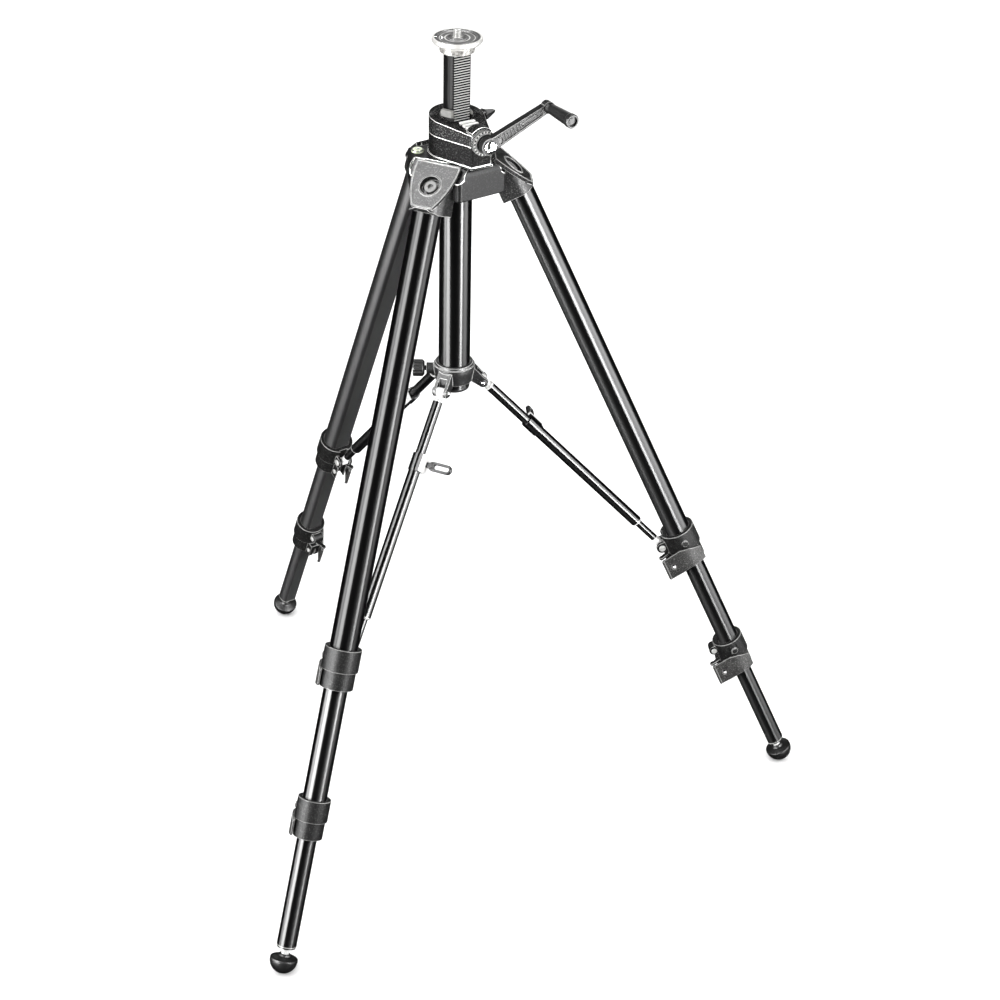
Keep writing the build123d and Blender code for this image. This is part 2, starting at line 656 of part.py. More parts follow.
# guide bush, open on the rack's side, with a raised tongue in front
with BuildPart() as bush:
    with BuildSketch(Plane.XY.offset(SEAM_Z)):
        Circle(19.55)
        Circle(COLUMN_R + 0.08, mode=Mode.SUBTRACT)
    extrude(amount=22)
    with BuildSketch(turned(-97, SEAM_Z)):
        with Locations((20, 0)):
            Rectangle(5.0, 15)
    extrude(amount=31)
    with BuildSketch(turned(-97, SEAM_Z - 1)):
        Circle(COLUMN_R + 0.08)
    extrude(amount=40, mode=Mode.SUBTRACT)
    with BuildSketch(Plane.XY.offset(SEAM_Z - 1)):
        Circle(40)
        Circle(19.55, mode=Mode.SUBTRACT)
    extrude(amount=24, mode=Mode.SUBTRACT)
    with BuildSketch(turned(CRANK_AZ, SEAM_Z - 1)):
        with Locations((30, 0)):
            Rectangle(40, 24)
    extrude(amount=40, mode=Mode.SUBTRACT)
    with BuildSketch(radial(70, 953.5, 10)):
        Circle(3.3)
    extrude(amount=20, mode=Mode.SUBTRACT)
save(bush, "column_bush")

with BuildPart() as screws:
    for x, y in SCREWS:
        zt = 970.0 - (x + 60) * (970.0 - 957.6) / 140.0
        with BuildSketch(sub(turned(CRANK_AZ, zt - 0.6), (x, y, 0), (1, 0, 0), (0, 0, 1))):
            Circle(3.4)
        extrude(amount=2.2)
        with BuildSketch(sub(turned(CRANK_AZ, zt + 1.6), (x, y, 0), (1, 0, 0), (0, 0, 1))):
            RegularPolygon(1.7, 6)
        extrude(amount=-1.6, mode=Mode.SUBTRACT)
save(screws, "housing_screws")

# ---------------------------------------------------------------- column, head plate and stud
with BuildPart() as column:
    with BuildSketch(Plane.XY.offset(COLUMN_BOT)):
        Circle(COLUMN_R)
        Circle(8.5, mode=Mode.SUBTRACT)
    extrude(amount=COLUMN_TOP - COLUMN_BOT)
    with BuildSketch(turned(CRANK_AZ, COLUMN_BOT - 1)):
        with Locations((RACK_TIP + 10, 0)):
            Rectangle(20, 40)
    extrude(amount=400, mode=Mode.SUBTRACT)
    # rack teeth: one comb cut right across the flat
    R = sub(turned(CRANK_AZ, 0), (0, 0, 0), (1, 0, 0), (0, -1, 0))
    ht, hr = RACK_TIP - RACK_PITCH, RACK_PITCH - RACK_ROOT
    n0, n1 = -77, 33
    comb = [(RACK_TIP + 6, GEAR_Z + (n0 - 0.5) * pi)]
    for n in range(n0, n1 + 1):
        zc = GEAR_Z + n * pi                             # a gap is centred on the gear's height
        wr = pi / 4 - hr * tan(radians(20))
        wt = pi / 4 + ht * tan(radians(20))
        comb += [(RACK_TIP + 0.01, zc - wt), (RACK_ROOT, zc - wr), (RACK_ROOT, zc + wr), (RACK_TIP + 0.01, zc + wt)]
    comb += [(RACK_TIP + 6, GEAR_Z + (n1 + 0.5) * pi), comb[0]]
    with BuildSketch(R):
        with BuildLine():
            Polyline(*comb)
        make_face()
    extrude(amount=20, both=True, mode=Mode.SUBTRACT)
save(column, "geared_column")

with BuildPart() as plate:
    with BuildSketch(Plane.XZ):
        with BuildLine():
            Polyline((0, 1046), (18.0, 1046), (18.0, 1043.5), (20.5, 1043.5), (22.0, 1052.5), (26.0, 1053.2), (28.6, 1054.2),
                     (30, 1056.2), (30, 1059.8), (29.4, 1060.4), (26.6, 1060.4), (26.6, 1059.4), (24.4, 1059.4),
                     (24.4, 1060.4), (22.6, 1060.4), (22.6, 1059.2), (12.4, 1059.2), (12.4, 1060.4), (10.2, 1060.4),
                     (10.2, 1059.4), (7.8, 1059.4), (7.8, 1060.4), (0, 1060.4), (0, 1046))
        make_face()
    revolve(axis=Axis.Z)
    # four spanner flats on the collar beneath
    with BuildSketch(turned(CRANK_AZ, 1043)) as flats:
        Rectangle(80, 80)
        RegularPolygon(20.2, 6, major_radius=False, mode=Mode.SUBTRACT)
    extrude(amount=9.4, mode=Mode.SUBTRACT)
    with BuildSketch(Plane.XY.offset(1046)):
        Circle(4.2)
    extrude(amount=20, mode=Mode.SUBTRACT)
save(plate, "head_plate")

with BuildPart() as stud:
    with BuildSketch(Plane.XY.offset(1046)):
        Circle(4.2)
    extrude(amount=PLATE_TOP - 1046)
    with BuildSketch(Plane.XY.offset(PLATE_TOP)):
        Circle(4.7625)
    extrude(amount=9.5)
    chamfer(stud.faces().sort_by(Axis.Z)[-1].edges(), 0.8)
    with BuildSketch(turned(25, PLATE_TOP + 9.5)):
        Rectangle(12, 1.4)
    extrude(amount=-1.6, mode=Mode.SUBTRACT)
save(stud, "head_stud")

# ---------------------------------------------------------------- drive gear on its shaft
RB = GEAR_T / 2.0 * cos(radians(20))                     # base circle
RT, RR = GEAR_T / 2.0 + 0.92, GEAR_T / 2.0 - 1.2
BACK = 0.10                                              # backlash taken off each tooth


def inv(r):
    al = sqrt(max((r / RB) ** 2 - 1, 0.0))
    from math import atan
    return al - atan(al)


gp = []
inv20 = tan(radians(20)) - radians(20)
half_p = (pi / 2 - BACK) / 2.0 / (GEAR_T / 2.0)          # half tooth angle at the pitch circle
for k in range(GEAR_T):
    mid = 2 * pi * k / GEAR_T + pi                       # tooth 0 points at the rack
    rs = [RB + 0.02, RB + 0.35, GEAR_T / 2.0, GEAR_T / 2.0 + 0.45, RT]
    left = [(RR, half_p + inv20)] + [(r, half_p + inv20 - inv(r)) for r in rs]
    for r, h in left:
        gp.append((r * cos(mid - h), r * sin(mid - h)))
    for r, h in reversed(left):
        gp.append((r * cos(mid + h), r * sin(mid + h)))
G = sub(turned(CRANK_AZ, GEAR_Z), (GEAR_OFF, 0, 0), (1, 0, 0), (0, -1, 0))     # sketch (off, up)
with BuildPart() as gear:
    with BuildSketch(G):
        with BuildLine():
            Polyline(*gp, gp[0])
        make_face()
    extrude(amount=5.0, both=True)
    with BuildSketch(G):
        Circle(3.0)
    extrude(amount=24.0, both=True)
    with BuildSketch(G):
        Circle(5.0)
    extrude(amount=6.0, both=True)
save(gear, "drive_gear")

# ---------------------------------------------------------------- crank
with BuildPart() as shaft:
    with BuildSketch(C.offset(13.4)):
        Circle(3.6)
    extrude(amount=26)
    with BuildSketch(C.offset(38)):
        Circle(4.5)
    extrude(amount=38)
save(shaft, "crank_shaft")

with BuildPart() as dial:
    with BuildSketch(C.offset(58.4)):
        Circle(15.4)
        with PolarLocations(15.9, 30):
            Circle(0.85, mode=Mode.SUBTRACT)
    extrude(amount=6.6)
    with BuildSketch(C.offset(65.0)):
        Circle(12.4)
    extrude(amount=1.6)
    with BuildSketch(C.offset(58)):
        Circle(4.9)
    extrude(amount=12, mode=Mode.SUBTRACT)
save(dial, "tension_dial")

AA = radians(ARM_ANG)
T0, T1 = 68.0, 77.0
with BuildPart() as arm:
    X = sub(C, (0, 0, T0), (cos(AA), sin(AA), 0), (0, 0, 1))      # sketch x = along the arm
    with BuildSketch(X) as outline:
        Circle(10.5)
        with BuildLine():
            Polyline((0, -8.6), (ARM_LEN, -5.6), (ARM_LEN, 5.6), (0, 8.6), (0, -8.6))
        make_face()
        with Locations((ARM_LEN, 0)):
            Circle(7.2)
    extrude(amount=T1 - T0)
    # recessed front face with raised ribs
    with BuildSketch(X.offset(T1 - T0)):
        with BuildLine():
            Polyline((13.5, -5.6), (ARM_LEN - 10, -3.4), (ARM_LEN - 10, 3.4), (13.5, 5.6), (13.5, -5.6))
        make_face()
    extrude(amount=-2.6, mode=Mode.SUBTRACT)
    for k in range(7):
        with BuildSketch(X.offset(T1 - T0 - 2.6)):
            with Locations((19 + 4.4 * k, 0)):
                Rectangle(1.4, 10.4 - 0.3 * k)
        extrude(amount=1.8)
    with BuildSketch(X.offset(T1 - T0 - 2.6)):
        with Locations((58.5, 0)):
            SlotOverall(22, 4.0)
    extrude(amount=1.6)
    with BuildSketch(X.offset(-1)):
        Circle(4.5)
    extrude(amount=20, mode=Mode.SUBTRACT)
    # spindle of the grip
    with BuildSketch(X):
        with Locations((ARM_LEN, 0)):
            Circle(3.0)
    extrude(amount=T1 - T0 + 46)
save(arm, "crank_arm")

with BuildPart() as cap:
    with BuildSketch(sub(C, (0, 0, 0), (1, 0, 0), (0, -1, 0))):     # sketch (tangential, along the shaft) through the axis
        with BuildLine():
            Polyline((0, 77.0), (8.3, 77.0), (8.3, 79.5))
            ThreePointArc((8.3, 79.5), (5.6, 82.6), (0, 83.8))
            Line((0, 83.8), (0, 77.0))
        make_face()
    revolve(axis=Axis((0, 0, CRANK_Z), ER))
    with BuildSketch(sub(C, (0, 0, 84.5), (cos(0.5), sin(0.5), 0), (0, 0, 1))):
        Rectangle(20, 1.8)
    extrude(amount=-3.0, mode=Mode.SUBTRACT)
save(cap, "crank_cap")

with BuildPart() as grip:
    gx, gy = ARM_LEN * cos(AA), ARM_LEN * sin(AA)
    g0 = T1 + 0.4
    with BuildSketch(sub(C, (gx, gy, 0), (1, 0, 0), (0, -1, 0))):
        with BuildLine():
            Polyline((3.1, g0), (6.6, g0), (6.9, g0 + 1.2), (6.3, g0 + 5), (8.0, g0 + 43), (8.6, g0 + 44.5), (8.6, g0 + 49.0),
                     (7.8, g0 + GRIP_LEN), (6.2, g0 + GRIP_LEN), (6.2, g0 + 46.8), (3.1, g0 + 46.8), (3.1, g0))
        make_face()
    GO = C.origin + C.x_dir * gx + C.y_dir * gy
    revolve(axis=Axis(GO, ER))
    with BuildSketch(sub(C, (gx, gy, g0 + 46.4), (1, 0, 0), (0, 0, 1))):
        Circle(3.6)
    extrude(amount=1.6)
save(grip, "crank_grip")

# ---------------------------------------------------------------- column lock
with BuildPart() as lock:
    K2 = radial(70, 953.5)
    with BuildSketch(K2.offset(18.6)):
        Circle(3.25)
    extrude(amount=22)
    with BuildSketch(K2.offset(36.6)):
        Circle(6.8)
    extrude(amount=8)
    with BuildSketch(K2.offset(40)):
        Rectangle(22, 6.6)
    with BuildSketch(K2.offset(62)):
        Rectangle(5, 2.6)
    loft()
save(lock, "column_lock")
print("stations", round(PIV_N, 3), round(PIV_S, 3), "strut", round(LPR, 3), round(LPZ, 3), round(SL, 3))
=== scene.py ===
import bpy
import bmesh
import math
from math import sin, cos, radians, pi
from mathutils import Vector, Matrix


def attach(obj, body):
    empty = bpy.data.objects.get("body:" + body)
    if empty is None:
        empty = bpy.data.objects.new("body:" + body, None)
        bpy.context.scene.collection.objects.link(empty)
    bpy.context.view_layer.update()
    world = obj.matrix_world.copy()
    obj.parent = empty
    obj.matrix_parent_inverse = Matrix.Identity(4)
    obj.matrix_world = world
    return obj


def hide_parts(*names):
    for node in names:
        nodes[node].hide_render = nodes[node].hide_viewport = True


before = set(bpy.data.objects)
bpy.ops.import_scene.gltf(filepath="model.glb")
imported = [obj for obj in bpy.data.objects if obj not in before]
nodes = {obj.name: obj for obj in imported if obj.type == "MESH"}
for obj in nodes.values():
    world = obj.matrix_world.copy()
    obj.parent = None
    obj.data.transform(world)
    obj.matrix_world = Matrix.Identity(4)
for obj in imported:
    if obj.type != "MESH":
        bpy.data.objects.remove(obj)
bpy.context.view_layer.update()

# ------------------------------------------------------------------ geometry shared with the CAD (metres)
TH = radians(24.28)
FR, FZ = 0.4531, 0.0319
LEGS = {"front": -90.0, "right": 30.0, "back": 150.0}
HUB_PIV = (0.036, 0.610)
LP_N, LP_S = -0.027, 0.3697
CRANK_AZ, CRANK_Z = -33.0, 0.951


def leg_axes(az):
    a = radians(az)
    x = Vector((cos(TH) * cos(a), cos(TH) * sin(a), sin(TH)))
    z = Vector((-sin(TH) * cos(a), -sin(TH) * sin(a), cos(TH)))
    y = z.cross(x)
    o = Vector((FR * cos(a), FR * sin(a), FZ))
    return o, x, y, z


def leg_matrix(az, n=0.0, y=0.0, s=0.0):
    o, X, Y, Z = leg_axes(az)
    p = o + X * n + Y * y + Z * s
    return Matrix(((X.x, Y.x, Z.x, p.x), (X.y, Y.y, Z.y, p.y), (X.z, Y.z, Z.z, p.z), (0, 0, 0, 1)))


def strut_axes(az):
    a = radians(az)
    lpr = FR - LP_S * sin(TH) + LP_N * cos(TH)
    lpz = FZ + LP_S * cos(TH) + LP_N * sin(TH)
    dr, dz = lpr - HUB_PIV[0], lpz - HUB_PIV[1]
    L = math.hypot(dr, dz)
    dr, dz = dr / L, dz / L
    z = Vector((dr * cos(a), dr * sin(a), dz))
    x = Vector((-dz * cos(a), -dz * sin(a), dr))
    y = z.cross(x)
    o = Vector((HUB_PIV[0] * cos(a), HUB_PIV[0] * sin(a), HUB_PIV[1]))
    return o, x, y, z


# ------------------------------------------------------------------ camera
cam_data = bpy.data.cameras.new("camera")
cam = bpy.data.objects.new("camera", cam_data)
bpy.context.scene.collection.objects.link(cam)
pan, tilt, roll = radians(116.4), radians(30.8), radians(0.49)
fwd = Vector((cos(tilt) * cos(pan), cos(tilt) * sin(pan), -sin(tilt)))
rgt = fwd.cross(Vector((0, 0, 1))).normalized()
up = rgt.cross(fwd)
r2 = rgt * cos(roll) + up * sin(roll)
u2 = -rgt * sin(roll) + up * cos(roll)
pos = Vector((1.13698, -2.30310, 1.97946))
cam.matrix_world = Matrix(((r2.x, u2.x, -fwd.x, pos.x), (r2.y, u2.y, -fwd.y, pos.y), (r2.z, u2.z, -fwd.z, pos.z), (0, 0, 0, 1)))
cam_data.sensor_width = 36.0
cam_data.lens = 83.185
cam_data.shift_x = 0.0514
cam_data.shift_y = -0.0097
cam_data.clip_end = 60
bpy.context.scene.camera = cam


# ------------------------------------------------------------------ node helpers
class Mat:
    def __init__(self, name):
        self.m = bpy.data.materials.new(name)
        self.m.use_nodes = True
        self.t = self.m.node_tree
        self.b = self.t.nodes["Principled BSDF"]
        self.coord = self.t.nodes.new("ShaderNodeTexCoord").outputs["Object"]

    def link(self, a, b):
        self.t.links.new(a, b)

    def node(self, kind, **inputs):
        n = self.t.nodes.new(kind)
        for k, v in inputs.items():
            if k in n.inputs:
                n.inputs[k].default_value = v
        return n

    def math(self, op, a, b=None, clamp=False):
        n = self.t.nodes.new("ShaderNodeMath")
        n.operation = op
        n.use_clamp = clamp
        for i, v in enumerate((a, b)):
            if v is None:
                continue
            if isinstance(v, (int, float)):
                n.inputs[i].default_value = v
            else:
                self.link(v, n.inputs[i])
        return n.outputs[0]

    def dot(self, vec, d):
        n = self.t.nodes.new("ShaderNodeVectorMath")
        n.operation = "DOT_PRODUCT"
        self.link(vec, n.inputs[0])
        n.inputs[1].default_value = tuple(d)
        return n.outputs["Value"]

    def noise(self, scale, detail=3.0, rough=0.5, vec=None, dims=None):
        n = self.t.nodes.new("ShaderNodeTexNoise")
        n.inputs["Scale"].default_value = scale
        n.inputs["Detail"].default_value = detail
        n.inputs["Roughness"].default_value = rough
        self.link(vec if vec is not None else self.coord, n.inputs["Vector"])
        return n.outputs["Fac"]

    def ramp(self, v, a, b, lo=0.0, hi=1.0):
        n = self.t.nodes.new("ShaderNodeMapRange")
        n.inputs["From Min"].default_value = a
        n.inputs["From Max"].default_value = b
        n.inputs["To Min"].default_value = lo
        n.inputs["To Max"].default_value = hi
        self.link(v, n.inputs["Value"])
        return n.outputs["Result"]

    def mix(self, f, a, b):
        n = self.t.nodes.new("ShaderNodeMix")
        n.data_type = "RGBA"
        self.link(f, n.inputs["Factor"]) if not isinstance(f, (int, float)) else setattr(n.inputs["Factor"], "default_value", f)
        for v, s in ((a, n.inputs[6]), (b, n.inputs[7])):
            if isinstance(v, tuple):
                s.default_value = (*v, 1.0) if len(v) == 3 else v
            else:
                self.link(v, s)
        return n.outputs[2]

    def mixf(self, f, a, b):
        n = self.t.nodes.new("ShaderNodeMix")
        n.data_type = "FLOAT"
        self.link(f, n.inputs[0])
        for v, s in ((a, n.inputs[2]), (b, n.inputs[3])):
            if isinstance(v, (int, float)):
                s.default_value = v
            else:
                self.link(v, s)
        return n.outputs[0]

    def bump(self, h, strength, dist):
        n = self.t.nodes.new("ShaderNodeBump")
        n.inputs["Strength"].default_value = strength
        n.inputs["Distance"].default_value = dist
        self.link(h, n.inputs["Height"])
        return n

    def edges(self, lo=0.52, hi=0.62):
        g = self.t.nodes.new("ShaderNodeNewGeometry")
        return self.ramp(g.outputs["Pointiness"], lo, hi)


def casting(name="casting", base=(0.006, 0.006, 0.0062), light=(0.05, 0.05, 0.05), rough=0.42, grain=1500.0, bump=0.5,
            speckle=620.0, amount=0.5, spec=0.14):
    """Painted die casting: a fine pebble, larger speckles at the grain the paint shows, and the edges lightened as a
    painted highlight.
    """
    m = Mat(name)
    fine = m.noise(grain, 2.0, 0.6)
    broad = m.noise(45.0, 3.0, 0.5)
    dots = m.noise(speckle, 1.5, 0.55)
    speck = m.ramp(dots, 0.55, 0.70)
    pits = m.ramp(dots, 0.46, 0.36)
    col = m.mix(m.ramp(broad, 0.35, 0.7), base, tuple(c * 1.4 for c in base))
    col = m.mix(m.math("MULTIPLY", speck, amount), col, light)
    col = m.mix(m.math("MULTIPLY", pits, 0.6), col, tuple(c * 0.3 for c in base))
    # edges found by pointiness are painted lighter: a painted edge highlight
    col = m.mix(m.math("MULTIPLY", m.edges(0.54, 0.68), 0.35), col, tuple(min(1, c * 2.2) for c in light))
    m.link(col, m.b.inputs["Base Color"])
    r = m.mixf(broad, rough - 0.06, rough + 0.08)
    m.link(m.math("SUBTRACT", r, m.math("MULTIPLY", speck, 0.06)), m.b.inputs["Roughness"])
    m.b.inputs["IOR"].default_value = 1.5
    m.b.inputs["Specular IOR Level"].default_value = spec
    h = m.math("ADD", m.math("MULTIPLY", fine, 0.4), m.math("MULTIPLY", dots, 1.0))
    b = m.bump(h, bump, 0.00035)
    m.link(b.outputs[0], m.b.inputs["Normal"])
    return m.m


def edge_highlight_paint(name, col, rough, metallic=0.0, spec=0.5):
    """Painted edge highlight for the bevel faces: a lighter colour, uneven along the line."""
    m = Mat(name)
    v = m.noise(160.0, 3.0, 0.6)
    c = m.mix(m.ramp(v, 0.35, 0.65), tuple(k * 0.55 for k in col), col)
    m.link(c, m.b.inputs["Base Color"])
    m.link(m.mixf(v, rough - 0.05, rough + 0.08), m.b.inputs["Roughness"])
    m.b.inputs["Metallic"].default_value = metallic
    m.b.inputs["Specular IOR Level"].default_value = spec
    return m.m


def tube(name, direction, gloss=0.28, base=(0.0018, 0.0018, 0.0019), masks=(), spec=0.16):
    """Black anodised drawn tube: drawn lines run along direction. masks: (function giving a mask, colour, roughness, metallic)."""
    m = Mat(name)
    d = Vector(direction).normalized()
    # squash the coordinate along the tube, so the noise becomes fine drawn lines
    along = m.dot(m.coord, d)
    sc = m.t.nodes.new("ShaderNodeVectorMath")
    sc.operation = "SCALE"
    sc.inputs[0].default_value = tuple(d)
    m.link(m.math("MULTIPLY", along, -0.985), sc.inputs["Scale"])
    ad = m.t.nodes.new("ShaderNodeVectorMath")
    ad.operation = "ADD"
    m.link(m.coord, ad.inputs[0])
    m.link(sc.outputs[0], ad.inputs[1])
    lines = m.noise(2600.0, 2.0, 0.55, vec=ad.outputs[0])
    broad = m.noise(14.0, 3.0, 0.5)
    smudge = m.noise(60.0, 4.0, 0.6, vec=ad.outputs[0])
    col = m.mix(broad, base, tuple(c * 1.9 for c in base))
    rough = m.mixf(smudge, gloss - 0.02, gloss + 0.04)
    metal = None
    for fn, c, r, me in masks:
        k = fn(m)
        col = m.mix(k, col, c)
        rough = m.mixf(k, rough, r)
        metal = m.mixf(k, 0.0 if metal is None else metal, me)
    m.link(col, m.b.inputs["Base Color"])
    m.link(rough, m.b.inputs["Roughness"])
    if metal is not None:
        m.link(metal, m.b.inputs["Metallic"])
    m.b.inputs["IOR"].default_value = 1.5
    m.b.inputs["Specular IOR Level"].default_value = spec
    m.b.inputs["Anisotropic"].default_value = 0.95
    tg = m.t.nodes.new("ShaderNodeCombineXYZ")
    for i in range(3):
        tg.inputs[i].default_value = d[i]
    m.link(tg.outputs[0], m.b.inputs["Tangent"])
    b = m.bump(lines, 0.03, 0.00005)
    m.link(b.outputs[0], m.b.inputs["Normal"])
    return m.m


def metal(name, base, rough, grain=900.0, turned=None, wear=0.0):
    m = Mat(name)
    n1 = m.noise(grain, 3.0, 0.55)
    n2 = m.noise(70.0, 3.0, 0.5)
    col = m.mix(m.ramp(n2, 0.3, 0.75), base, tuple(c * 0.86 for c in base))
    m.link(col, m.b.inputs["Base Color"])
    m.b.inputs["Metallic"].default_value = 1.0
    m.link(m.mixf(n2, rough - 0.05, rough + 0.07), m.b.inputs["Roughness"])
    if turned:
        ln = m.t.nodes.new("ShaderNodeVectorMath")
        ln.operation = "LENGTH"
        sc = m.t.nodes.new("ShaderNodeVectorMath")
        sc.operation = "MULTIPLY"
        sc.inputs[1].default_value = (1, 1, 0)
        m.link(m.coord, sc.inputs[0])
        m.link(sc.outputs[0], ln.inputs[0])
        wave = m.math("SINE", m.math("MULTIPLY", ln.outputs["Value"], turned))
        h = m.math("ADD", m.math("MULTIPLY", wave, 0.5), n1)
        b = m.bump(h, 0.22, 0.00012)
    else:
        b = m.bump(n1, 0.12, 0.0001)
    m.link(b.outputs[0], m.b.inputs["Normal"])
    return m.m


def plastic(name, base, rough=0.42, grain=1400.0, bump=0.2, spec=0.5):
    m = Mat(name)
    n1 = m.noise(grain, 2.0, 0.55)
    n2 = m.noise(55.0, 3.0, 0.5)
    col = m.mix(m.ramp(n2, 0.3, 0.75), base, tuple(c * 1.35 for c in base))
    # edges found by pointiness are painted lighter: a painted edge highlight
    col = m.mix(m.math("MULTIPLY", m.edges(0.53, 0.65), 0.4), col, tuple(min(1, c * 3.0 + 0.03) for c in base))
    m.link(col, m.b.inputs["Base Color"])
    m.link(m.mixf(n2, rough - 0.06, rough + 0.08), m.b.inputs["Roughness"])
    m.b.inputs["Specular IOR Level"].default_value = spec
    b = m.bump(n1, bump, 0.0002)
    m.link(b.outputs[0], m.b.inputs["Normal"])
    return m.m


def mask_below(direction, origin, at, soft=0.0002):
    """1 where the coordinate along direction from origin is below at."""
    d = Vector(direction).normalized()
    off = d.dot(Vector(origin))

    def fn(m):
        v = m.math("SUBTRACT", m.dot(m.coord, d), off)
        return m.ramp(v, at + soft, at - soft)
    return fn


def mask_above(direction, origin, at, soft=0.0002):
    d = Vector(direction).normalized()
    off = d.dot(Vector(origin))

    def fn(m):
        v = m.math("SUBTRACT", m.dot(m.coord, d), off)
        return m.ramp(v, at - soft, at + soft)
    return fn


def both(a, b):
    return lambda m: m.math("MULTIPLY", a(m), b(m))


# ------------------------------------------------------------------ materials of the CAD nodes
SILVER = (0.80, 0.80, 0.79)
M = {}
M["casting"] = casting(base=(0.009, 0.009, 0.0092), light=(0.13, 0.13, 0.126), amount=0.65, rough=0.36, spec=0.07, bump=0.45)
M["arm"] = casting("arm_casting", base=(0.005, 0.005, 0.0052), light=(0.035, 0.035, 0.034), rough=0.36, bump=0.3, spec=0.10)
M["casting_smooth"] = casting("casting_smooth", base=(0.008, 0.008, 0.0082), light=(0.06, 0.06, 0.058), rough=0.36, bump=0.35)
M["collar"] = casting("collar_casting", base=(0.006, 0.006, 0.006), light=(0.06, 0.06, 0.058), rough=0.42, bump=0.35, spec=0.045)
M["housing"] = casting("housing", base=(0.0025, 0.0025, 0.0026), light=(0.055, 0.055, 0.053), rough=0.5, bump=0.40, amount=0.8, spec=0.012)
cm = Mat("cover_casting")
spk = cm.noise(620.0, 1.5, 0.55)
ccol = cm.mix(cm.ramp(cm.noise(45.0), 0.35, 0.7), (0.003, 0.003, 0.0031), (0.0045, 0.0045, 0.0046))
ccol = cm.mix(cm.math("MULTIPLY", cm.ramp(spk, 0.55, 0.70), 0.8), ccol, (0.16, 0.16, 0.155))
ex, ey = cos(radians(CRANK_AZ)), sin(radians(CRANK_AZ))
offv = cm.dot(cm.coord, (ex, ey, 0))
tanv = cm.math("ABSOLUTE", cm.dot(cm.coord, (-ey, ex, 0)))
rise = cm.dot(cm.coord, (0.088571 * ex, 0.088571 * ey, 1.0))
# the raised ribs of the cover are painted near-white: a painted highlight on their tops
rib_top_highlight = cm.math("MULTIPLY", cm.ramp(rise, 0.9653, 0.9657), cm.ramp(tanv, 0.0103, 0.0101))
rib_top_highlight = cm.math("MULTIPLY", rib_top_highlight, cm.math("MULTIPLY", cm.ramp(offv, 0.0220, 0.0222), cm.ramp(offv, 0.0424, 0.0422)))
ccol = cm.mix(rib_top_highlight, ccol, (0.85, 0.85, 0.83))
cm.link(ccol, cm.b.inputs["Base Color"])
cm.link(cm.mixf(cm.noise(45.0), 0.40, 0.54), cm.b.inputs["Roughness"])
cm.b.inputs["Specular IOR Level"].default_value = 0.02
cb = cm.bump(spk, 0.6, 0.00035)
cm.link(cb.outputs[0], cm.b.inputs["Normal"])
M["cover"] = cm.m
# lighter colours for the bevel faces: painted edge highlights, bright, dim and mid
M["edge_bright"] = edge_highlight_paint("edge_bright", (0.75, 0.75, 0.73), 0.38, 0.3)
M["edge_dim"] = edge_highlight_paint("edge_dim", (0.22, 0.22, 0.215), 0.5, 0.0, 0.15)
M["edge_mid"] = edge_highlight_paint("edge_mid", (0.55, 0.55, 0.54), 0.48, 0.0, 0.12)
M["spider"] = casting("spider_casting", base=(0.006, 0.006, 0.0062), light=(0.045, 0.045, 0.044), rough=0.36, bump=0.2, spec=0.045)
M["lever"] = casting("lever_grey", base=(0.022, 0.0215, 0.021), light=(0.15, 0.15, 0.145), rough=0.48, bump=0.5, amount=0.6, spec=0.10)
M["knob"] = plastic("knob_black", (0.006, 0.006, 0.006), 0.34, spec=0.16)
M["rubber"] = plastic("foot_rubber", (0.005, 0.005, 0.005), 0.36, 700.0, 0.2, spec=0.10)
bush = Mat("bush_plastic")
tongue = mask_above((0, 0, 1), (0, 0, 0), 0.9672, 0.0002)(bush)
bush.link(bush.mix(tongue, (0.008, 0.008, 0.008), bush.mix(bush.noise(260.0), (0.16, 0.16, 0.15), (0.30, 0.30, 0.285))), bush.b.inputs["Base Color"])
bush.link(bush.mixf(bush.noise(60.0), 0.45, 0.55), bush.b.inputs["Roughness"])
bush.b.inputs["Specular IOR Level"].default_value = 0.05
M["bush"] = bush.m
pm = Mat("plate_turned")
sq = pm.t.nodes.new("ShaderNodeVectorMath")
sq.operation = "MULTIPLY"
sq.inputs[1].default_value = (1, 1, 0)
pm.link(pm.coord, sq.inputs[0])
ln = pm.t.nodes.new("ShaderNodeVectorMath")
ln.operation = "LENGTH"
pm.link(sq.outputs[0], ln.inputs[0])
rad = ln.outputs["Value"]


def ring_mask(r0, r1, soft=0.0002):
    return pm.math("MULTIPLY", pm.ramp(rad, r0 - soft, r0 + soft), pm.ramp(rad, r1 + soft, r1 - soft))


top = mask_above((0, 0, 1), (0, 0, 0), 1.0582, 0.0002)(pm)
dark = pm.math("ADD", pm.math("ADD", ring_mask(0.0152, 0.0205), ring_mask(0.0213, 0.0272)), ring_mask(0.0056, 0.0138), clamp=True)
dark = pm.math("MULTIPLY", dark, top)
fine = pm.noise(900.0, 3.0, 0.55)
wave = pm.math("SINE", pm.math("MULTIPLY", rad, 6500.0))
pcol = pm.mix(pm.ramp(pm.noise(70.0), 0.3, 0.75), (0.62, 0.61, 0.585), (0.46, 0.455, 0.44))
